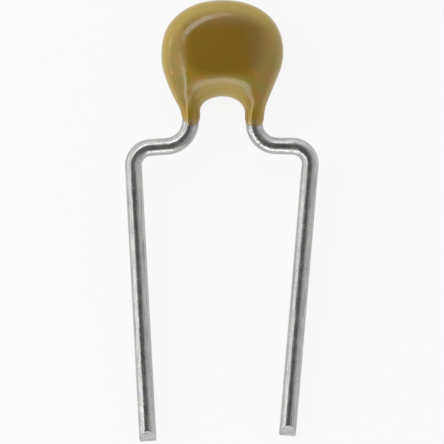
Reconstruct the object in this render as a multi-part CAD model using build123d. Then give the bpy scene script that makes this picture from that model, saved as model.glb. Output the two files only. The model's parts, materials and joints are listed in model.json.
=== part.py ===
from build123d import *

import math
import os

# A radial multilayer ceramic capacitor, dip coated in epoxy, lying on its back as it would come to rest.
#
# A brick of ceramic with metal films fired into it carries a metal cap on each end. A tinned wire lead is
# soldered to each cap, and the chip and the wires' ends are dipped in epoxy together. The dip leaves a pillow
# with a leg that runs down each wire, and an arch between the legs. Below the legs each wire is kicked out to
# the board's hole spacing, and its shoulder holds the pillow clear of the board.
#
# The part is built in the plane of its wires, in millimetres: X runs across, Y runs up from the board's face,
# where the shoulders rest, and Z runs through the thickness with the front at +Z. At the end the whole part is
# laid down until its back and both wire tips touch the ground, with the origin on the ground under its middle.

# Coated wires, up from the board
shoulder_height = 0.25  # the shoulder's middle above the board's face
coat_end = 0.91  # the coat's lower ends above the board's face
leg_length = 0.355  # from the coat's lower ends to where the arch springs
arch_rise = 0.456
coat_under_chip = 0.845  # from the arch's top to the chip's lower edge
coat_over_chip = 0.735
coat_beside_wire = 0.265
coat_on_face = 0.62  # over the chip's front and back
leg_wall = 0.032  # on the wire, in the legs
feather_wall = 0.012  # on the wire, where the coat runs out
feather_length = 0.12

# The pillow's outline and section
widest_below_chip = 0.16  # the widest place, below the chip's centre
flank_foot = 0.025  # above the springing, the flank's straight line would meet the leg's side
flank_foot_rounding = 0.23  # along each line from that corner
flank_head = 0.32  # below the widest place, it would meet the upright side
flank_head_rounding = 0.30
dome_fullness = 0.64  # 0.55 gives an ellipse, and more gives a squarer dome
leg_fullness = 2.0  # 2 gives an elliptic section
pillow_fullness = 2.5  # and more gives flatter faces
leg_sections = 2
fan_sections = 8  # from the springing to the top
section_steps = 4  # from the inner edge over the front to the outer edge

# Ceramic chip with its end caps
chip_length = 2.00
chip_width = 1.25  # up the part
chip_thickness = 0.80
edge_wear = 0.04  # each way, off the ceramic's edges
cap_thickness = 0.03
cap_band = 0.35  # how far a cap wraps along the chip

# Metal films fired into the chip, taken to the left and to the right cap in turn
electrode_count = 16
electrode_thickness = 0.012
cover_layer = 0.10  # bare ceramic over the first film and under the last
side_margin = 0.15
end_margin = 0.20

# Tinned wire leads
wire_diameter = 0.50
lead_spacing = 5.24  # centre to centre at the board's face
lead_lean = 3.93  # degrees that each lead leans in towards its tip
leg_spacing = 1.876  # centre to centre where the wires leave the coat
kick_radius = 0.52  # of the wire's centre line
left_reach = 8.46  # from the board's face to the sheared tip
right_reach = 8.23
left_shoulder_fall = 5.5  # degrees, outwards
right_shoulder_fall = 0.5
splay_below_chip = 0.145  # the wires are upright again this far below the chip
splay_height = 0.87
splay_radius = 1.00
wire_past_centre = 0.50  # the wire's end above the chip's centre
solder_film = 0.02  # between the wire and its cap
tip_bevel = 48.0  # degrees between the wire and the shear's face
tip_land = 0.20  # what the bevel leaves of the wire's thickness
tip_break = 0.05  # the small bevel on the back

# Solder joints
solder_width = 0.72  # at the cap
solder_margin = 0.06  # below the chip's upper edge and above its lower edge
solder_hollow = 0.40  # radius of the hollow flanks

settling_steps = 4  # of turning the part until it lies level

# Places that follow from the sizes above
wire_radius = wire_diameter / 2
springing = coat_end + leg_length
chip_centre = springing + arch_rise + coat_under_chip + chip_width / 2
coat_top = chip_centre + chip_width / 2 + coat_over_chip
leg_x = leg_spacing / 2
leg_radius = wire_radius + leg_wall
chip_wire_x = chip_length / 2 + solder_film + wire_radius
half_width = chip_wire_x + wire_radius + coat_beside_wire
half_thickness = chip_thickness / 2 + coat_on_face
arch_half_span = leg_x - leg_radius


def coat_outline():
    """The right half of the coat's outer edge, from the leg's end round to the top."""
    widest = chip_centre - widest_below_chip
    foot = Vector(leg_x + leg_radius, springing + flank_foot)
    head = Vector(half_width, widest - flank_head)
    turn = math.atan2(head.X - foot.X, head.Y - foot.Y)
    radii = [rounding / math.tan(turn / 2) for rounding in (flank_foot_rounding, flank_head_rounding)]
    side = FilletPolyline((foot.X, coat_end), foot, head, (half_width, widest), radius=radii)
    dome_height = coat_top - widest
    dome = Bezier(
        (half_width, widest),
        (half_width, widest + dome_fullness * dome_height),
        (dome_fullness * half_width, coat_top),
        (0, coat_top),
    )
    return side + dome


def front_half_section(inner, outer, half_depth, fullness):
    """The front half of an oval section between two points of the wires' plane, standing square to it."""
    plane = Plane(origin=(inner + outer) / 2, x_dir=outer - inner, z_dir=(outer - inner).cross(Vector(0, 0, 1)))
    half_length = (outer - inner).length / 2
    points = []
    for step in range(section_steps + 1):
        angle = math.pi * step / section_steps
        along, deep = math.cos(angle), math.sin(angle)
        x = half_length * math.copysign(abs(along) ** (2 / fullness), along)
        points.append((x, half_depth * abs(deep) ** (2 / fullness)))
    skin = Spline(*points, tangents=[(0, 1), (0, -1)], tangent_scalars=[1, 1])
    return plane * make_face(skin + Line(points[-1], points[0]))


def cut_along_ray(outline, start, angle):
    """The coat's section along a ray from a point on the arch's axis, at an angle above the board."""
    ray = Vector(math.cos(math.radians(angle)), math.sin(math.radians(angle)))
    outer = Vector(*(outline & Line(start, start + ray * 2 * coat_top)))
    span = arch_half_span * arch_rise / math.hypot(arch_rise * ray.X, arch_half_span * ray.Y)
    blend = ray.Y**2 * (3 - 2 * ray.Y)
    half_depth = leg_radius + blend * (half_thickness - leg_radius)
    fullness = leg_fullness + blend * (pillow_fullness - leg_fullness)
    return start + ray * span, outer, half_depth, fullness


def right_half_cuts():
    """The sections of the right half, from the feathered end up the leg and round the arch to the top."""
    outline = coat_outline()
    feather = wire_radius + feather_wall
    leg_start = coat_end + feather_length
    cuts = [(Vector(leg_x - feather, coat_end), Vector(leg_x + feather, coat_end), feather, leg_fullness)]
    for step in range(leg_sections):
        height = leg_start + (springing - leg_start) * step / leg_sections
        cuts.append(cut_along_ray(outline, Vector(0, height), 0))
    for step in range(fan_sections + 1):
        cuts.append(cut_along_ray(outline, Vector(0, springing), 90 * step / fan_sections))
    return cuts


def epoxy_coating(pieces_inside):
    """The dipped coat. Its front half goes up one leg, round the arch and down the other, and the back is alike."""
    right = right_half_cuts()
    left = [
        (Vector(-inner.X, inner.Y), Vector(-outer.X, outer.Y), half_depth, fullness)
        for inner, outer, half_depth, fullness in reversed(right[:-1])
    ]
    front = loft([front_half_section(*cut) for cut in right + left])
    return front + mirror(front, Plane.XY) - pieces_inside


def worn_brick(length, width, thickness, wear):
    """A brick about the chip's centre, with the edges that tumbling wore off."""
    brick = Pos(0, chip_centre) * Box(length, width, thickness)
    return chamfer(brick.edges(), wear)


def electrode(number):
    """One film of metal. Odd ones run to the left cap, and even ones to the right."""
    length = chip_length - 2 * cap_thickness - end_margin
    side = -1 if number % 2 else 1
    stack = chip_thickness - 2 * cover_layer - electrode_thickness
    z = stack * ((number - 1) / (electrode_count - 1) - 0.5)
    film = Box(length, chip_width - 2 * side_margin, electrode_thickness)
    return Pos(side * end_margin / 2, chip_centre, z) * film


def end_cap(side, ceramic):
    """The metal cap on one end of the ceramic: an end wall, with a band on the four faces beside it."""
    width = chip_width + 2 * cap_thickness
    thickness = chip_thickness + 2 * cap_thickness
    outer = worn_brick(chip_length, width, thickness, edge_wear + cap_thickness)
    end = Pos(side * chip_length / 2, chip_centre) * Box(2 * cap_band, 2 * width, 2 * thickness)
    return outer & end - ceramic


def lead_path(side, reach, shoulder_fall):
    """The wire's centre line, from its tip to its end beside the chip."""
    lean = math.tan(math.radians(lead_lean))
    fall = math.tan(math.radians(shoulder_fall))
    half_shoulder = (lead_spacing - leg_spacing) / 4
    splay_end = chip_centre - chip_width / 2 - splay_below_chip
    outer_y = shoulder_height - fall * half_shoulder
    corners = [
        (lead_spacing / 2 - lean * reach, -reach),
        (lead_spacing / 2 + lean * outer_y, outer_y),
        (leg_x, shoulder_height + fall * half_shoulder),
        (leg_x, splay_end - splay_height),
        (chip_wire_x, splay_end),
        (chip_wire_x, chip_centre + wire_past_centre),
    ]
    radii = [kick_radius, kick_radius, splay_radius, splay_radius]
    return FilletPolyline(*[(side * x, y) for x, y in corners], radius=radii)


def lead(side, reach, shoulder_fall):
    """A tinned wire, kicked out by a forming tool and sheared to length, with a bevel on the front of its tip."""
    path = lead_path(side, reach, shoulder_fall)
    along = path.tangent_at(0)
    wire = sweep(Plane(origin=path.position_at(0), z_dir=along) * Circle(wire_radius), path=path)
    tip = Plane(origin=path.position_at(0), x_dir=Vector(0, 0, 1), z_dir=-along)
    size = 4 * wire_diameter
    for x, turn in ((tip_land - wire_radius, 90 - tip_bevel), (tip_break - wire_radius, -45)):
        wire -= tip * Pos(x, 0) * Rot(0, turn, 0) * Pos(0, 0, size / 2) * Box(2 * size, size, size)
    return wire


def solder_joint(side, wire):
    """Solder drawn in between a cap and its wire, with hollow flanks."""
    face_x = chip_length / 2
    upper = (face_x, solder_width / 2)
    lower = (face_x, -solder_width / 2)
    wire_top = (chip_wire_x, wire_radius)
    wire_bottom = (chip_wire_x, -wire_radius)
    profile = Line(lower, upper)
    profile += RadiusArc(upper, wire_top, solder_hollow)
    profile += Line(wire_top, wire_bottom)
    profile += RadiusArc(wire_bottom, lower, solder_hollow)
    height = chip_width - 2 * solder_margin
    level = Plane(origin=(0, chip_centre - height / 2, 0), x_dir=(1, 0, 0), z_dir=(0, -1, 0))
    joint = extrude(level * make_face(profile), -height)
    return (joint if side > 0 else mirror(joint, Plane.YZ)) - wire


def lay_down(pieces):
    """Turn the part until the coat's back and both tips are level, then set it on the ground."""
    supports = [pieces[name] for name in ("epoxy_coating", "lead_left", "lead_right")]
    tip_spacing = lead_spacing - 2 * left_reach * math.tan(math.radians(lead_lean))
    pitch = roll = 0.0
    for _ in range(settling_steps):
        back, left, right = [(Rot(pitch, roll) * piece).bounding_box().min.Z for piece in supports]
        pitch += math.degrees(math.atan(((left + right) / 2 - back) / (left_reach + chip_centre)))
        roll += math.degrees(math.atan((right - left) / tip_spacing))
    turned = Compound(children=[Rot(pitch, roll) * piece for piece in pieces.values()])
    box = turned.bounding_box()
    return Pos(-box.center().X, -box.center().Y, -box.min.Z) * Rot(pitch, roll)


def build():
    """Every piece of the part, by name, where it lies."""
    ceramic = worn_brick(chip_length - 2 * cap_thickness, chip_width, chip_thickness, edge_wear)
    lead_left = lead(-1, left_reach, left_shoulder_fall)
    lead_right = lead(1, right_reach, right_shoulder_fall)
    inside = {
        "lead_left": lead_left,
        "lead_right": lead_right,
        "solder_left": solder_joint(-1, lead_left),
        "solder_right": solder_joint(1, lead_right),
        "end_cap_left": end_cap(-1, ceramic),
        "end_cap_right": end_cap(1, ceramic),
        "ceramic_block": ceramic,
    }
    pieces = {"epoxy_coating": epoxy_coating(list(inside.values()))} | inside
    for number in range(1, electrode_count + 1):
        film = electrode(number)
        pieces["ceramic_block"] -= film
        pieces[f"electrode_{number:02d}"] = film
    place = lay_down(pieces)
    return {name: place * piece for name, piece in pieces.items()}, place


parts, resting_place = build()
os.makedirs("parts", exist_ok=True)
for name, piece in parts.items():
    export_step(piece, f"parts/{name}.step")
    print(name, piece.is_valid, len(piece.solids()), round(piece.volume, 5))
print(Compound(children=list(parts.values())).bounding_box())
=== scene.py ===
import json
import math

import bmesh
import bpy
from mathutils import Matrix, Vector, noise


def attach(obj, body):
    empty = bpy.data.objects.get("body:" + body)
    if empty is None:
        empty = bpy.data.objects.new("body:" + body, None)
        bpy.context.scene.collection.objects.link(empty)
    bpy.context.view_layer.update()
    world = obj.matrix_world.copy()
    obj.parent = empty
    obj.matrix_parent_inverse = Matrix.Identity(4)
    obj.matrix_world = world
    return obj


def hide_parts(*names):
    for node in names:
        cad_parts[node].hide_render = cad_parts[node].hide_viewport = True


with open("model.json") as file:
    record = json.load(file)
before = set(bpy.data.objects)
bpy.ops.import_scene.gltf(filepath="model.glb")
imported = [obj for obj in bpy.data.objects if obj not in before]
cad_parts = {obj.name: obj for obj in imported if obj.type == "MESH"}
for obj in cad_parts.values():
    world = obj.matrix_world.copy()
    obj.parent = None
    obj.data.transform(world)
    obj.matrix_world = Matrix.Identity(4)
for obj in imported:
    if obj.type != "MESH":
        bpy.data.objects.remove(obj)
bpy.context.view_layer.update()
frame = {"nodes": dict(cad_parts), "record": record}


# Ceramic brick
# The working part is a brick of fired ceramic, pale brown and matt, cut from a stack of cast sheets.
# Its edges were worn round by tumbling. It sits in the middle of the coat, where nobody sees it.

def uneven_group():
    """Broad patches and fine grain over a surface, as one value from 0 to 1. Sizes are in millimetres."""
    group = bpy.data.node_groups.new("uneven", "ShaderNodeTree")
    group.interface.new_socket("Place", in_out="INPUT", socket_type="NodeSocketVector")
    for name in ("Patch Size", "Grain Size", "Grain Share"):
        group.interface.new_socket(name, in_out="INPUT", socket_type="NodeSocketFloat")
    group.interface.new_socket("Value", in_out="OUTPUT", socket_type="NodeSocketFloat")
    nodes, links = group.nodes, group.links
    entry = nodes.new("NodeGroupInput")
    leave = nodes.new("NodeGroupOutput")
    values = []
    for size, detail in (("Patch Size", 2.0), ("Grain Size", 4.0)):
        per_mm = nodes.new("ShaderNodeMath")
        per_mm.operation = "DIVIDE"
        per_mm.inputs[0].default_value = 1.0
        links.new(entry.outputs[size], per_mm.inputs[1])
        cloud = nodes.new("ShaderNodeTexNoise")
        cloud.inputs["Detail"].default_value = detail
        links.new(entry.outputs["Place"], cloud.inputs["Vector"])
        links.new(per_mm.outputs[0], cloud.inputs["Scale"])
        values.append(cloud.outputs["Fac"])
    blend = nodes.new("ShaderNodeMix")
    links.new(entry.outputs["Grain Share"], blend.inputs["Factor"])
    links.new(values[0], blend.inputs["A"])
    links.new(values[1], blend.inputs["B"])
    links.new(blend.outputs["Result"], leave.inputs["Value"])
    return group


uneven = uneven_group()
# Nearly all of the effect's values lie in this range.
uneven_range = (0.3, 0.7)


def new_finish(name, roughness, metallic=0.0):
    """A material and its shader."""
    material = bpy.data.materials.new(name)
    material.use_nodes = True
    shader = material.node_tree.nodes["Principled BSDF"]
    shader.inputs["Roughness"].default_value = roughness
    shader.inputs["Metallic"].default_value = metallic
    return material, shader


def surface_place(material):
    """A place on the surface, in millimetres."""
    nodes = material.node_tree.nodes
    where = nodes.new("ShaderNodeTexCoord")
    millimetres = nodes.new("ShaderNodeVectorMath")
    millimetres.operation = "SCALE"
    millimetres.inputs["Scale"].default_value = 1000.0
    material.node_tree.links.new(where.outputs["Object"], millimetres.inputs[0])
    return millimetres.outputs[0]


def place_uneven(material, place, patch, grain, share):
    """The uneven effect, placed in a material with its own sizes in millimetres."""
    node = material.node_tree.nodes.new("ShaderNodeGroup")
    node.node_tree = uneven
    material.node_tree.links.new(place, node.inputs["Place"])
    node.inputs["Patch Size"].default_value = patch
    node.inputs["Grain Size"].default_value = grain
    node.inputs["Grain Share"].default_value = share
    return node.outputs["Value"]


def set_ranges(node, given, wanted):
    """Sets the range that a Map Range node is given and the range that it puts out."""
    for name, number in zip(("From Min", "From Max", "To Min", "To Max"), (*given, *wanted)):
        node.inputs[name].default_value = number


def spread(material, value, given, wanted):
    """A value with its given range spread over the wanted one, and held at the wanted range's ends."""
    node = material.node_tree.nodes.new("ShaderNodeMapRange")
    material.node_tree.links.new(value, node.inputs["Value"])
    set_ranges(node, given, wanted)
    return node.outputs["Result"]


def tint(material, value, stops):
    """Colours laid along a value: stops are (value, colour)."""
    node = material.node_tree.nodes.new("ShaderNodeValToRGB")
    while len(node.color_ramp.elements) < len(stops):
        node.color_ramp.elements.new(0.5)
    for element, (position, colour) in zip(node.color_ramp.elements, stops):
        element.position = position
        element.color = (*colour, 1.0)
    material.node_tree.links.new(value, node.inputs["Fac"])
    return node.outputs["Color"]


def relief(material, shader, height, depth):
    """Bumps of the given depth in millimetres, from a height between 0 and 1."""
    node = material.node_tree.nodes.new("ShaderNodeBump")
    node.inputs["Strength"].default_value = 1.0
    node.inputs["Distance"].default_value = depth / 1000
    material.node_tree.links.new(height, node.inputs["Height"])
    material.node_tree.links.new(node.outputs["Normal"], shader.inputs["Normal"])


def vary(material, shader, value, dark, pale, roughness, depth):
    """Lets colour, roughness and relief follow one uneven value. The depth is in millimetres."""
    links = material.node_tree.links
    colours = tint(material, value, list(zip(uneven_range, (dark, pale))))
    links.new(colours, shader.inputs["Base Color"])
    links.new(spread(material, value, uneven_range, roughness), shader.inputs["Roughness"])
    relief(material, shader, value, depth)


def finish_cad_node(name, material):
    """A solid that the coat hides keeps its shape and gets its finish."""
    node = frame["nodes"][name]
    node.data.materials.clear()
    node.data.materials.append(material)


ceramic, shader = new_finish("fired_ceramic", 0.55)
grain = place_uneven(ceramic, surface_place(ceramic), patch=0.6, grain=0.03, share=0.6)
vary(
    ceramic, shader, grain,
    dark=(0.42, 0.33, 0.24), pale=(0.62, 0.54, 0.43), roughness=(0.45, 0.7), depth=0.004,
)
finish_cad_node("ceramic_block", ceramic)


# Metal films
# Sixteen films of nickel paste lie between the ceramic sheets and were fired with them. They run to the
# left and to the right cap in turn, and stop short of the other one.

electrode_count = 16
nickel, shader = new_finish("fired_nickel", 0.4, metallic=1.0)
grain = place_uneven(nickel, surface_place(nickel), patch=0.3, grain=0.012, share=0.7)
vary(
    nickel, shader, grain,
    dark=(0.44, 0.42, 0.39), pale=(0.62, 0.60, 0.56), roughness=(0.32, 0.5), depth=0.002,
)
for number in range(1, electrode_count + 1):
    finish_cad_node(f"electrode_{number:02d}", nickel)


# End caps
# Each end of the brick was dipped in metal paste and fired, which leaves a porous matt cap with a soft
# edge. It joins the films of its side, and takes the solder.

paste, shader = new_finish("fired_cap_paste", 0.5, metallic=1.0)
grain = place_uneven(paste, surface_place(paste), patch=0.4, grain=0.04, share=0.6)
vary(
    paste, shader, grain,
    dark=(0.52, 0.51, 0.48), pale=(0.78, 0.77, 0.74), roughness=(0.4, 0.62), depth=0.005,
)
finish_cad_node("end_cap_left", paste)
finish_cad_node("end_cap_right", paste)


# Solder joints
# Solder fills the corner between each wire and its cap, with hollow flanks. It froze slowly, so it is satin
# and finely crazed.

solder, shader = new_finish("solder", 0.3, metallic=1.0)
frost = place_uneven(solder, surface_place(solder), patch=0.25, grain=0.025, share=0.5)
vary(
    solder, shader, frost,
    dark=(0.58, 0.58, 0.59), pale=(0.76, 0.76, 0.77), roughness=(0.22, 0.42), depth=0.004,
)
finish_cad_node("solder_left", solder)
finish_cad_node("solder_right", solder)


# Wire leads
# Round copper wire with a bright tin finish, drawn, so fine marks run along it. A forming tool kicked
# each wire out to the board's hole spacing, and a shear cut its tip, with a bevel on the front. Both
# wires run up inside the coat to the solder.

# Sizes are in millimetres and angles in degrees. Heights start where the wires meet the board.
wire_radius = 0.25
lead_spacing = 5.24
lead_lean = math.tan(math.radians(3.93))
shoulder_height = {"left": 0.217, "right": 0.295}
leg_x = 0.938
kick_radius = 0.52
leg_bend_radius = {"left": 0.74, "right": 0.66}
splay_radius = 1.0
splay_start, splay_end = 1.551, 2.421
chip_wire_x, wire_end = 1.27, 3.691
pin_reach = {"left": 8.46, "right": 8.23}
shoulder_fall = {"left": 5.5, "right": 0.5}
# The tip's two cuts, each by how far above the wire's back it meets the flat end, and its angle to the wire:
# the bevel on the front, and the broken edge at the back. All the tip's edges are a little rounded.
tip_bevel, tip_bevel_angle = 0.15, 48
tip_break, tip_break_angle = 0.05, 135
tip_edge, tip_edge_angle = 0.008, 25
wire_sides = 64
run_step, turn_step = 0.22, math.radians(4)
crease_angle = 35
mirrored = {"left": -1, "right": 1}
# Where each wire starts along the drawing marks, so the two don't carry the same ones.
drawn_start = {"left": 40, "right": 0}


def resting_frame():
    """Takes a place in the wires' own plane, in millimetres, to its place on the ground, in metres.
    The two pins' mounts say how the part lies: X runs across, Y up the part and Z out of its front."""
    mounts = {mount["name"]: mount for mount in frame["record"]["mounts"]}
    left, right = mounts["lead_left_pin"], mounts["lead_right_pin"]
    left_point, right_point = Vector(left["pos_m"]), Vector(right["pos_m"])
    left_axis, right_axis = Vector(left["axis"]), Vector(right["axis"])
    up = -(left_axis + right_axis).normalized()
    across = (left_axis - right_axis).normalized()
    front = across.cross(up)
    apart = right_point - left_point
    both = (apart.dot(across) - lead_spacing / 1000) / lead_lean
    left_height = (both - apart.dot(up)) / 2
    left_x = -(lead_spacing / 2000 + lead_lean * left_height)
    origin = left_point - across * left_x - up * left_height
    turn = Matrix((across, up, front)).transposed().to_4x4()
    return Matrix.Translation(origin) @ turn @ Matrix.Scale(0.001, 4)


to_ground = resting_frame()


def bent_line(corners, radii):
    """Points along a line that is bent to a radius at each of its inner corners."""
    points = [Vector(corners[0])]
    for before, corner, after, radius in zip(corners, corners[1:], corners[2:], radii):
        corner = Vector(corner)
        back = (Vector(before) - corner).normalized()
        ahead = (Vector(after) - corner).normalized()
        half = back.angle(ahead) / 2
        centre = corner + (back + ahead).normalized() * radius / math.sin(half)
        spoke = corner + back * radius / math.tan(half) - centre
        turn = math.copysign(math.pi - 2 * half, back.x * ahead.y - back.y * ahead.x)
        steps = max(2, math.ceil(abs(turn) / turn_step))
        for step in range(steps + 1):
            points.append(centre + Matrix.Rotation(-turn * step / steps, 2) @ spoke)
    points.append(Vector(corners[-1]))
    line = [points[0]]
    for point in points[1:]:
        steps = max(1, math.ceil((point - line[-1]).length / run_step))
        start = line[-1]
        line.extend(start.lerp(point, step / steps) for step in range(1, steps + 1))
    return line


def lead_line(side):
    """The wire's centre line, from its tip to its end beside the chip."""
    reach = pin_reach[side]
    fall = math.tan(math.radians(shoulder_fall[side]))
    half_shoulder = (lead_spacing / 2 - leg_x) / 2
    outer_y = shoulder_height[side] - fall * half_shoulder
    corners = [
        (lead_spacing / 2 - lead_lean * reach, -reach),
        (lead_spacing / 2 + lead_lean * outer_y, outer_y),
        (leg_x, shoulder_height[side] + fall * half_shoulder),
        (leg_x, splay_start),
        (chip_wire_x, splay_end),
        (chip_wire_x, wire_end),
    ]
    return bent_line(corners, [kick_radius, leg_bend_radius[side], splay_radius, splay_radius])


def directions(line):
    """The way the line runs at each of its points."""
    ahead = [(b - a).normalized() for a, b in zip(line, line[1:])]
    return [(a + b).normalized() for a, b in zip(ahead[:1] + ahead, ahead + ahead[-1:])]


def skin_rings(mesh, rings):
    """Faces from ring to ring, and one over each end."""
    sides = len(rings[0])
    verts = [mesh.verts.new(point) for ring in rings for point in ring]
    for first in range(0, len(verts) - sides, sides):
        for side in range(sides):
            beside = (side + 1) % sides
            corners = (first + side, first + beside, first + sides + beside, first + sides + side)
            mesh.faces.new([verts[corner] for corner in corners])
    mesh.faces.new(verts[:sides][::-1])
    mesh.faces.new(verts[-sides:])
    return verts


def make_piece(name, mesh, material):
    """Lays the piece on the ground, with smooth shading between its sharp edges."""
    bmesh.ops.recalc_face_normals(mesh, faces=mesh.faces)
    mesh.transform(to_ground)
    data = bpy.data.meshes.new(name)
    mesh.to_mesh(data)
    mesh.free()
    data.materials.append(material)
    data.shade_smooth()
    data.set_sharp_from_angle(angle=math.radians(crease_angle))
    piece = bpy.data.objects.new(name, data)
    bpy.context.scene.collection.objects.link(piece)
    return piece


# Where the forming tool pressed: how far along the wire from the tip, which side of it (0 is outwards, 90
# the front), how deep and how long.
tool_marks = {
    "left": [(8.25, 150, 0.010, 0.16), (9.35, 20, 0.012, 0.14), (9.9, 95, 0.006, 0.2)],
    "right": [(8.05, 160, 0.010, 0.16), (8.75, 110, 0.016, 0.10), (9.2, 10, 0.012, 0.14)],
}


def pressed(marks, along, angle):
    """How deep the forming tool's marks are at a place on the wire."""
    depth = 0.0
    for place, side, deep, length in marks:
        near = math.exp(-(((along - place) / length) ** 2))
        facing = max(0.0, math.cos(angle - math.radians(side)))
        depth += deep * near * facing**6
    return depth


def shear(mesh, plane_point, plane_normal):
    """Cuts everything off beyond a plane, and closes the cut."""
    everything = mesh.verts[:] + mesh.edges[:] + mesh.faces[:]
    cut = bmesh.ops.bisect_plane(
        mesh, geom=everything, dist=1e-5, plane_co=plane_point, plane_no=plane_normal, clear_outer=True
    )
    edges = [item for item in cut["geom_cut"] if isinstance(item, bmesh.types.BMEdge)]
    bmesh.ops.edgeloop_fill(mesh, edges=edges)


def make_lead(side, material):
    """One wire, from its sheared tip to its end beside the chip."""
    mirror = mirrored[side]
    line = lead_line(side)
    ahead = directions(line)
    mesh = bmesh.new()
    drawn = mesh.verts.layers.float_vector.new("drawn")
    rings, along, places = [], 0.0, []
    for index, (point, way) in enumerate(zip(line, ahead)):
        if index:
            along += (point - line[index - 1]).length
        outward = Vector((way.y, -way.x))
        ring = []
        for step in range(wire_sides):
            angle = 2 * math.pi * step / wire_sides
            radius = wire_radius - pressed(tool_marks[side], along, angle)
            beside, raised = radius * math.cos(angle), radius * math.sin(angle)
            spot = point + outward * beside
            ring.append(Vector((mirror * spot.x, spot.y, raised)))
            places.append(Vector((beside, raised, along + drawn_start[side])))
        rings.append(ring)
    for vert, where in zip(skin_rings(mesh, rings), places):
        vert[drawn] = where
    tip = Vector((mirror * line[0].x, line[0].y, 0))
    out = -Vector((mirror * ahead[0].x, ahead[0].y, 0))
    front = Vector((0, 0, 1))
    for height, cut_angle in ((tip_bevel, tip_bevel_angle), (tip_break, tip_break_angle)):
        turn = math.radians(90 - cut_angle)
        way = front * math.sin(turn) + out * math.cos(turn)
        shear(mesh, tip + front * (height - wire_radius), way)
    near_tip = [
        edge for edge in mesh.edges
        if len(edge.link_faces) == 2
        and edge.calc_face_angle() > math.radians(tip_edge_angle)
        and (edge.verts[0].co - tip).length < 2 * wire_radius
    ]
    bmesh.ops.bevel(mesh, geom=near_tip, offset=tip_edge, segments=2, profile=0.6, affect="EDGES")
    lead = make_piece("wire_" + side, mesh, material)
    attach(lead, "root")
    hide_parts("lead_" + side)


# The drawing marks are long: a place along the wire counts for this share of one round it. Small pits lie
# between them.
mark_stretch = 0.05
pits_per_mm = 7.0
pit_edge = (0.06, 0.18)
dull_grey = (0.27, 0.27, 0.27, 1)
mark_height, pit_height = 0.35, -0.3
tin, shader = new_finish("tinned_wire", 0.2, metallic=1.0)
nodes, links = tin.node_tree.nodes, tin.node_tree.links
drawn = nodes.new("ShaderNodeAttribute")
drawn.attribute_name = "drawn"
lengthwise = nodes.new("ShaderNodeVectorMath")
lengthwise.operation = "MULTIPLY"
lengthwise.inputs[1].default_value = (1.0, 1.0, mark_stretch)
links.new(drawn.outputs["Vector"], lengthwise.inputs[0])
marks = place_uneven(tin, lengthwise.outputs[0], patch=0.12, grain=0.03, share=0.5)
clouds = place_uneven(tin, drawn.outputs["Vector"], patch=0.30, grain=0.05, share=0.4)
pits = nodes.new("ShaderNodeTexVoronoi")
pits.inputs["Scale"].default_value = pits_per_mm
pits.inputs["Randomness"].default_value = 1.0
links.new(drawn.outputs["Vector"], pits.inputs["Vector"])
pitted = spread(tin, pits.outputs["Distance"], pit_edge, (0.9, 0.0))
bright = tint(tin, clouds, [(0.35, (0.48, 0.50, 0.52)), (0.65, (0.63, 0.62, 0.58))])
dull = spread(tin, marks, (0.36, 0.50), (0.6, 0.0))
for value in (dull, pitted):
    darker = nodes.new("ShaderNodeMix")
    darker.data_type = "RGBA"
    darker.inputs["B"].default_value = dull_grey
    links.new(value, darker.inputs["Factor"])
    links.new(bright, darker.inputs["A"])
    bright = darker.outputs["Result"]
links.new(bright, shader.inputs["Base Color"])
links.new(spread(tin, clouds, uneven_range, (0.15, 0.30)), shader.inputs["Roughness"])
height = nodes.new("ShaderNodeMath")
height.operation = "MULTIPLY_ADD"
height.inputs[1].default_value = mark_height
links.new(marks, height.inputs[0])
links.new(clouds, height.inputs[2])
pitted_height = nodes.new("ShaderNodeMath")
pitted_height.operation = "MULTIPLY_ADD"
pitted_height.inputs[1].default_value = pit_height
links.new(pitted, pitted_height.inputs[0])
links.new(height.outputs[0], pitted_height.inputs[2])
relief(tin, shader, pitted_height.outputs[0], 0.014)

make_lead("left", tin)
make_lead("right", tin)


# Epoxy coat
# The chip and the wires' ends were dipped in epoxy powder together and cured, which leaves a glossy mustard
# pillow. It runs down each wire as a leg that feathers out unevenly, and hangs in an arch between the legs.

springing, coat_end, coat_top = 1.265, 0.91, 4.551
arch_half_span, arch_rise = 0.656, 0.456
leg_radius, feather_wall, bore_slack = 0.282, 0.012, 0.0015
half_width, half_thickness = 1.785, 1.02
widest = 3.031
flank_foot, flank_foot_rounding = 0.025, 0.23
flank_head, flank_head_rounding = 0.32, 0.30
dome_fullness = 0.62
pillow_fullness, arch_fullness = 2.75, 2.15
outline_spare, past_middle = 0.2, 0.01
coat_sides = 112
fan_steps, leg_steps, dome_steps = 144, 16, 60
swell_start, swell_end, swell_ease = 1.05, 3.14, 0.25
leg_swell_share = 0.35
# The coat's thin end on a wire, from inside its bore round the edge and out: each ring's height above the
# lower edge, and its radius.
bore = wire_radius + bore_slack
feather = wire_radius + feather_wall
rim_top = 0.028
rim = [(0.12, bore), (0.0, bore), (0.002, bore + 0.004), (0.010, feather - 0.003), (rim_top, feather)]
# The coat's lower edge round each wire, above the coat's nominal end, from the outer side over the front
# to the inner side and the back, and the fine unevenness on it.
ragged_edge = {
    "left": (0.20, 0.05, -0.08, -0.03, 0.06, 0.03, -0.02, 0.08),
    "right": (0.04, -0.03, -0.08, -0.02, 0.06, 0.05, 0.0, -0.02),
}
ragged_fine, ragged_fine_pace = 0.012, 0.5
ragged_fine_row = {"left": 3.1, "right": 8.7}


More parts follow.
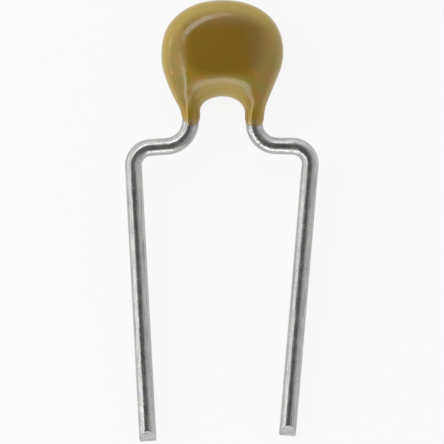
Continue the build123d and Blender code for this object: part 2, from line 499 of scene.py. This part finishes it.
def coat_outline():
    """The right half of the coat's outer edge, from the leg's end round to the top."""
    foot = (leg_x + leg_radius, springing + flank_foot)
    head = (half_width, widest - flank_head)
    turn = math.atan2(head[0] - foot[0], head[1] - foot[1])
    radii = [rounding / math.tan(turn / 2) for rounding in (flank_foot_rounding, flank_head_rounding)]
    line = bent_line([(foot[0], coat_end - outline_spare), foot, head, (half_width, widest)], radii)
    dome_height = coat_top - widest
    guides = [
        Vector((half_width, widest)),
        Vector((half_width, widest + dome_fullness * dome_height)),
        Vector((dome_fullness * half_width, coat_top)),
        Vector((-past_middle, coat_top)),
    ]
    for step in range(1, dome_steps + 1):
        t = step / dome_steps
        shares = ((1 - t) ** 3, 3 * t * (1 - t) ** 2, 3 * t * t * (1 - t), t**3)
        line.append(sum((guide * share for guide, share in zip(guides, shares)), Vector((0, 0))))
    return line


outline = coat_outline()


def reach_along(ray):
    """How far the outline is from the arch's springing along a ray, in the right half."""
    start = Vector((0, springing))
    across = Vector((-ray.y, ray.x))
    for a, b in zip(outline, outline[1:]):
        side_a, side_b = (a - start).dot(across), (b - start).dot(across)
        if side_a <= 0 <= side_b and side_b > side_a:
            return (a.lerp(b, side_a / (side_a - side_b)) - start).dot(ray)
    raise ValueError("the ray misses the coat's outline")


def outer_edge(height):
    """How far out the outline is at a height on the leg or the flank."""
    for a, b in zip(outline, outline[1:]):
        if a.y <= height <= b.y and b.y > a.y:
            return a.x + (b.x - a.x) * (height - a.y) / (b.y - a.y)
    raise ValueError("the height is off the leg and the flank")


def oval(centre, outward, half_length, half_depth, outer_fullness=2, inner_fullness=2):
    """One ring of the coat, from its outer side round over the front. A fullness of 2 is an ellipse."""
    ring = []
    for step in range(coat_sides):
        angle = 2 * math.pi * step / coat_sides
        along, deep = math.cos(angle), math.sin(angle)
        fullness = outer_fullness if along > 0 else inner_fullness
        x = half_length * math.copysign(abs(along) ** (2 / fullness), along)
        z = half_depth * math.copysign(abs(deep) ** (2 / fullness), deep)
        spot = centre + outward * x
        ring.append(Vector((spot.x, spot.y, z)))
    return ring


def ease(value, low, high):
    """0 below low, 1 above high, and smooth between them."""
    share = min(1.0, max(0.0, (value - low) / (high - low)))
    return share * share * (3 - 2 * share)


def depth_share(crest):
    """How much of the pillow's depth the coat has, by the height of its crest."""
    steady = min(1.0, max(0.0, (crest - swell_start) / (swell_end - swell_start)))
    return (1 - swell_ease) * steady + swell_ease * ease(crest, swell_start, swell_end)


def fan_ring(angle):
    """The ring that a ray from the middle of the arch cuts, at an angle above the board, in either half."""
    ray = Vector((math.cos(angle), math.sin(angle)))
    reach = reach_along(Vector((abs(ray.x), ray.y)))
    span = arch_half_span * arch_rise / math.hypot(arch_rise * ray.x, arch_half_span * ray.y)
    blend = depth_share(springing + (reach + span) / 2 * ray.y)
    half_depth = leg_radius + blend * (half_thickness - leg_radius)
    outer, inner = (2 + blend * (fullness - 2) for fullness in (pillow_fullness, arch_fullness))
    centre = Vector((0, springing)) + ray * (reach + span) / 2
    return oval(centre, ray, (reach - span) / 2, half_depth, outer, inner)


def edge_at(side, step):
    """The height of the coat's lower edge at one step of the way round a wire."""
    knots = ragged_edge[side]
    place = step / coat_sides * len(knots)
    index = int(place)
    share = place - index
    around = [knots[(index + offset) % len(knots)] for offset in (-1, 0, 1, 2)]
    slope_a, slope_b = (around[2] - around[0]) / 2, (around[3] - around[1]) / 2
    rise = around[1] * (2 * share**3 - 3 * share**2 + 1) + around[2] * (3 * share**2 - 2 * share**3)
    rise += slope_a * (share**3 - 2 * share**2 + share) + slope_b * (share**3 - share**2)
    fine = noise.noise(Vector((step * ragged_fine_pace, ragged_fine_row[side], 0)))
    return coat_end + rise + ragged_fine * fine


def leg_rings(side):
    """The rings of one leg, from the bore's blind end beside the chip, down the wire and up the outside."""
    mirror = mirrored[side]
    rings = []
    line = lead_line(side)
    ahead = directions(line)
    inside = [(point, way) for point, way in zip(line, ahead) if point.y > springing]
    for point, way in reversed(inside):
        centre, outward = Vector((mirror * point.x, point.y)), Vector((mirror * way.y, -way.x))
        rings.append(oval(centre, outward, bore, bore))
    centre, outward = Vector((mirror * leg_x, 0)), Vector((mirror, 0))
    edge = [edge_at(side, step) for step in range(coat_sides)]
    for above, radius in rim:
        ring = oval(centre, outward, radius, radius)
        rings.append([Vector((spot.x, low + above, spot.z)) for spot, low in zip(ring, edge)])
    for step in range(1, leg_steps):
        share = step / leg_steps
        radius = feather + (leg_radius - feather) * ease(share, 0.0, leg_swell_share)
        height = coat_end + (springing - coat_end) * share
        deep = radius + depth_share(height) * (half_thickness - leg_radius)
        wider = (outer_edge(height) - leg_x - leg_radius) / 2
        ring = oval(centre + outward * wider, outward, radius + wider, deep)
        rings.append([
            Vector((spot.x, low + rim_top + (springing - low - rim_top) * share, spot.z))
            for spot, low in zip(ring, edge)
        ])
    return rings


# The ridge over each wire. A pair of heights is where a change starts and where it is complete.
ridge_low_x, ridge_high_x, ridge_lean = 0.89, 0.96, (1.6, 2.7)
ridge_outer_width, ridge_inner_width = 0.27, 0.50
ridge_height, ridge_rise, ridge_fade = 0.062, (1.2, 1.8), (2.2, 3.5)
ridge_full_depth = 0.3


def over_wire(spot):
    """The coat stands a little higher along the wire, from the leg up to the chip's corner."""
    off = abs(spot.x) - ridge_low_x - (ridge_high_x - ridge_low_x) * ease(spot.y, *ridge_lean)
    off /= ridge_outer_width if off > 0 else ridge_inner_width
    rise = ridge_height * math.exp(-off * off) * ease(spot.y, *ridge_rise) * (1 - ease(spot.y, *ridge_fade))
    share = min(1.0, abs(spot.z) / ridge_full_depth)
    return Vector((spot.x, spot.y, spot.z + math.copysign(rise * share, spot.z)))


# How unevenly the coat set. A pair of places is again where a change starts and where it is complete.
uneven_beside = (0.2, 1.2)
left_fuller, left_rise, left_fade = 0.035, (1.2, 1.7), (3.6, 4.2)
left_sag, left_sag_height, left_sag_reach, left_sag_rise = 0.065, 2.12, 0.62, (1.1, 1.6)
right_slimmer, right_rise = 0.025, (1.2, 1.6)


def dipped_uneven(spot):
    """The dip ran a little fuller down the left side, and the right side stayed a little slimmer."""
    side = ease(abs(spot.x), *uneven_beside)
    if spot.x < 0:
        fuller = left_fuller * ease(spot.y, *left_rise) * (1 - ease(spot.y, *left_fade))
        sag = math.exp(-(((spot.y - left_sag_height) / left_sag_reach) ** 2))
        fuller += left_sag * sag * ease(spot.y, *left_sag_rise)
        return Vector((spot.x - side * fuller, spot.y, spot.z))
    return Vector((spot.x - side * right_slimmer * ease(spot.y, *right_rise), spot.y, spot.z))


# The painted shade on the coat's front over the chip: a rounded square, and where its edge starts and ends
# as a share of its size.
cover_middle, cover_half_width, cover_half_height = 3.17, 1.31, 0.99
cover_squareness, cover_fade = 3, (0.70, 1.06)


def painted_front_shade(spot):
    """1 where the coat's front over the chip is painted darker as shade, and 0 away from it."""
    beside = abs(spot.x) / cover_half_width
    above = abs(spot.y - cover_middle) / cover_half_height
    away = (beside**cover_squareness + above**cover_squareness) ** (1 / cover_squareness)
    return 1 - ease(away, *cover_fade)


# The painted light on the coat's edge, a paler colour that stands in for the lamps lighting its rim: how far
# in from the arch's edge and from the outer edge it reaches, how much stronger it is on the left, and how
# much it gains at the right side's two corners.
arch_light, outer_light = (0.42, 0.88), (0.42, 0.78)
side_light, side_light_lean, side_light_reach, side_light_left = 0.80, 0.25, 1.3, -0.8
corner_light, corner_light_height, corner_light_beside = 0.35, (0.3, 1.2), (0.0, 1.0)


def painted_rim_light(across, spot):
    """1 where the coat's edge is painted lighter for the light on its rim. The left side gets more of this
    painted light.
    """
    if across < 0:
        return ease(-across, *arch_light)
    side = side_light - side_light_lean * min(1.0, max(side_light_left, spot.x / side_light_reach))
    corner = ease(abs(spot.y - widest), *corner_light_height) * ease(spot.x, *corner_light_beside)
    return min(1.0, side + corner_light * corner) * ease(across, *outer_light)


# Over how many rings from its end the coat stays thin, and up to what height the wire shows through a leg.
feathered_rings = (4, 14)
leg_cover_fade = (1.0, 1.75)


def make_coat(material):
    """The whole coat as one skin, from one wire's bore round the arch to the other's, with its masks."""
    right, left = leg_rings("right"), leg_rings("left")
    fan = [
        [dipped_uneven(over_wire(spot)) for spot in fan_ring(math.pi * step / fan_steps)]
        for step in range(fan_steps + 1)
    ]
    rings = right + fan + left[::-1]
    mesh = bmesh.new()
    front_shade_paint = mesh.verts.layers.float.new("front_shade_paint")
    leg_cover = mesh.verts.layers.float.new("leg_cover")
    feathered = mesh.verts.layers.float.new("feathered")
    lit_rim_paint = mesh.verts.layers.float.new("lit_rim_paint")
    bore_rings = len(right) - len(rim) - (leg_steps - 1)
    for index, vert in enumerate(skin_rings(mesh, rings)):
        ring = index // coat_sides
        above = min(ring, len(rings) - 1 - ring) - bore_rings
        vert[feathered] = 1 - ease(above, *feathered_rings)
        across = math.cos(2 * math.pi * (index % coat_sides) / coat_sides)
        # The rim's mask paints light onto the coat's edge.
        vert[lit_rim_paint] = painted_rim_light(across, vert.co)
        # The front's mask paints shade onto the coat's flat middle.
        vert[front_shade_paint] = painted_front_shade(vert.co)
        vert[leg_cover] = 1 - ease(vert.co.y, *leg_cover_fade)
    coat = make_piece("coat", mesh, material)
    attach(coat, "root")
    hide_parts("epoxy_coating")


epoxy, shader = new_finish("dipped_epoxy", 0.18)
shader.inputs["IOR"].default_value = 1.6
nodes, links = epoxy.node_tree.nodes, epoxy.node_tree.links
clouds = place_uneven(epoxy, surface_place(epoxy), patch=0.38, grain=0.12, share=0.3)
resin = tint(epoxy, clouds, [
    (0.37, (0.282, 0.213, 0.014)),
    (0.50, (0.330, 0.210, 0.016)),
    (0.63, (0.382, 0.195, 0.015)),
])


def cover(attribute, under, colour, share):
    """Lays a colour over another where the coat's own mask is strong."""
    mask = nodes.new("ShaderNodeAttribute")
    mask.attribute_name = attribute
    strength = nodes.new("ShaderNodeMath")
    strength.operation = "MULTIPLY"
    strength.inputs[1].default_value = share
    links.new(mask.outputs["Fac"], strength.inputs[0])
    mixed = nodes.new("ShaderNodeMix")
    mixed.data_type = "RGBA"
    links.new(strength.outputs[0], mixed.inputs["Factor"])
    links.new(under, mixed.inputs["A"])
    mixed.inputs["B"].default_value = (*colour, 1)
    return mixed.outputs["Result"]


# Painted light: the rim's paler colour stands in for how the lamps light the coat's edge.
resin = cover("lit_rim_paint", resin, (0.505, 0.352, 0.044), 0.72)
# Painted shade: the front's flat middle over the chip gets a darker brown.
resin = cover("front_shade_paint", resin, (0.217, 0.110, 0.0045), 0.74)
resin = cover("leg_cover", resin, (0.405, 0.235, 0.026), 0.7)
resin = cover("feathered", resin, (0.42, 0.33, 0.19), 0.75)
links.new(resin, shader.inputs["Base Color"])
# The wire's metal shines through where the resin over it is thin.
shine = nodes.new("ShaderNodeMath")
shine.operation = "MAXIMUM"
for index, (attribute, share) in enumerate((("feathered", 0.7), ("leg_cover", 0.35))):
    mask = nodes.new("ShaderNodeAttribute")
    mask.attribute_name = attribute
    links.new(spread(epoxy, mask.outputs["Fac"], (0.0, 1.0), (0.0, share)), shine.inputs[index])
links.new(shine.outputs[0], shader.inputs["Metallic"])
links.new(spread(epoxy, clouds, (0.35, 0.65), (0.10, 0.17)), shader.inputs["Roughness"])
relief(epoxy, shader, clouds, 0.0018)
make_coat(epoxy)


# Ground
# A plain pale board under the part. It looks white to the camera and in the tin, and keeps a faint shadow.

ground_size = 0.5
ground_white = 0.9
ground_shadow_share = 0.12
ground_mirrored_shadow_share = 0.45
bpy.ops.mesh.primitive_plane_add(size=ground_size, location=(0, 0, 0))
ground = bpy.context.object
ground.name = "ground"
ground_paint = bpy.data.materials.new("pale_ground")
ground_paint.use_nodes = True
nodes, links = ground_paint.node_tree.nodes, ground_paint.node_tree.links
nodes.clear()
matt = nodes.new("ShaderNodeBsdfDiffuse")
matt.inputs["Color"].default_value = (ground_white, ground_white, ground_white, 1)
white = nodes.new("ShaderNodeEmission")
white.inputs["Strength"].default_value = 1.0
ray = nodes.new("ShaderNodeLightPath")
seen = nodes.new("ShaderNodeMath")
seen.operation = "MAXIMUM"
links.new(ray.outputs["Is Glossy Ray"], seen.inputs[0])
links.new(ray.outputs["Is Transmission Ray"], seen.inputs[1])
mirrored = nodes.new("ShaderNodeMath")
mirrored.operation = "MULTIPLY"
mirrored.inputs[1].default_value = 1 - ground_mirrored_shadow_share
links.new(seen.outputs[0], mirrored.inputs[0])
share = nodes.new("ShaderNodeMath")
share.operation = "MULTIPLY_ADD"
share.inputs[1].default_value = 1 - ground_shadow_share
links.new(ray.outputs["Is Camera Ray"], share.inputs[0])
links.new(mirrored.outputs[0], share.inputs[2])
mix = nodes.new("ShaderNodeMixShader")
leave = nodes.new("ShaderNodeOutputMaterial")
links.new(share.outputs[0], mix.inputs["Fac"])
links.new(matt.outputs[0], mix.inputs[1])
links.new(white.outputs[0], mix.inputs[2])
links.new(mix.outputs[0], leave.inputs["Surface"])
ground.data.materials.append(ground_paint)


# Studio light
# A pale tent all round, dark where the camera looks in and brightest at the part's upper left. Long narrow
# lamps draw the thin highlights on the coat and the wires.

world = bpy.data.worlds.new("tent")
bpy.context.scene.world = world
world.use_nodes = True
nodes, links = world.node_tree.nodes, world.node_tree.links
tent = nodes["Background"]
heading = nodes.new("ShaderNodeTexCoord")
laid_down = to_ground.to_3x3().normalized()
body_middle = Vector((0, 2.5, 0))


def toward(way, given, wanted, smooth=False):
    """The tent's light by how far a place on it lies towards one side, from -1 opposite it to 1 on it."""
    facing = nodes.new("ShaderNodeVectorMath")
    facing.operation = "DOT_PRODUCT"
    facing.inputs[1].default_value = way
    links.new(heading.outputs["Generated"], facing.inputs[0])
    level = nodes.new("ShaderNodeMapRange")
    if smooth:
        level.interpolation_type = "SMOOTHSTEP"
    set_ranges(level, given, wanted)
    links.new(facing.outputs["Value"], level.inputs["Value"])
    return level.outputs["Result"]


def combine(operation, a, b):
    """Two values of the tent's light as one."""
    node = nodes.new("ShaderNodeMath")
    node.operation = operation
    links.new(a, node.inputs[0])
    links.new(b, node.inputs[1])
    return node.outputs[0]


right_way, up_way = (1, 0, 0), (0, 1, 0)
sideways = toward(right_way, (-1, 1), (0.42, 0.08))
lengthways = toward(up_way, (-1, 1), (0.62, 0.84))
hole_edge = (0.13, 1.0)
hole_left = toward(right_way, (-0.44, -0.80), hole_edge, smooth=True)
hole_right = toward(right_way, (0.15, 1.0), hole_edge)
hole_top = toward(up_way, (0.20, 0.82), hole_edge, smooth=True)
hole_low = toward(up_way, (-0.66, -0.95), hole_edge, smooth=True)
hole_across = combine("MAXIMUM", hole_left, hole_right)
hole_along = combine("MAXIMUM", hole_top, hole_low)
camera_hole = combine("MAXIMUM", hole_across, hole_along)
links.new(combine("MULTIPLY", combine("ADD", sideways, lengthways), camera_hole), tent.inputs["Strength"])
tent.inputs["Color"].default_value = (1.0, 1.0, 1.0, 1)


def strip(name, start, end, width, brightness):
    """A long flat lamp that faces the body, between two places given from the body's middle. Sizes are in
    millimetres."""
    start, end = Vector(start), Vector(end)
    middle = (start + end) / 2
    along = (end - start).normalized()
    away = (middle - along * middle.dot(along)).normalized()
    light = bpy.data.lights.new(name, "AREA")
    light.shape = "RECTANGLE"
    light.size, light.size_y = (end - start).length / 1000, width / 1000
    light.energy = brightness * math.pi * light.size * light.size_y
    holder = bpy.data.objects.new(name, light)
    bpy.context.scene.collection.objects.link(holder)
    turn = laid_down @ Matrix((along, away.cross(along), away)).transposed()
    holder.matrix_world = Matrix.Translation(to_ground @ (middle + body_middle)) @ turn.to_4x4()


# The thin line close to the coat's left edge.
strip("rim_strip", (-71, 20, 3), (-73, 8, 7), width=6, brightness=2.2)
strip("rim_strip_middle", (-73, 8, 7), (-72, -20, 10), width=6, brightness=1.0)
strip("rim_strip_end", (-72, -20, 10), (-69, -30, 4), width=6, brightness=3.0)
# The long line over the left wire.
strip("left_strip", (-58, -4, 48), (-58, -20, 46), width=6, brightness=1.4)
strip("left_strip_middle", (-58, -20, 46), (-49, -42, 44), width=15, brightness=2.1)
strip("left_strip_end", (-49, -42, 44), (-40, -66, 40), width=16, brightness=3.0)
# The arc over the chip's top left corner.
strip("top_strip_start", (-56, 14, 64), (-48, 27, 64), width=15, brightness=1.4)
strip("top_strip", (-48, 27, 64), (-14, 66, 60), width=19, brightness=2.9)
strip("top_strip_end", (-14, 66, 60), (8, 80, 58), width=17, brightness=1.6)
# The arc over the arch, and a faint glow all along the lower side.
strip("low_strip", (-36, -66, 38), (14, -72, 38), width=21, brightness=1.9)
strip("low_glow", (-60, -80, 16), (60, -80, 16), width=30, brightness=0.45)


# Camera
# It looks straight at the part's front through a long lens, turned a little, so the part stands a little
# clockwise in the picture.

lens, sensor = 200.0, 36.0
picture_width = 13.06
aim = Vector((0.035, -1.97, 0))
roll = math.radians(0.9)
camera_data = bpy.data.cameras.new("camera")
camera_data.lens, camera_data.sensor_width = lens, sensor
camera_data.clip_start, camera_data.clip_end = 0.005, 5.0
camera = bpy.data.objects.new("camera", camera_data)
bpy.context.scene.collection.objects.link(camera)
turn = laid_down @ Matrix.Rotation(roll, 3, "Z")
stand_back = Vector((0, 0, picture_width * lens / sensor))
camera.matrix_world = Matrix.Translation(to_ground @ (aim + stand_back)) @ turn.to_4x4()
bpy.context.scene.camera = camera
bpy.context.scene.view_settings.view_transform = "Standard"
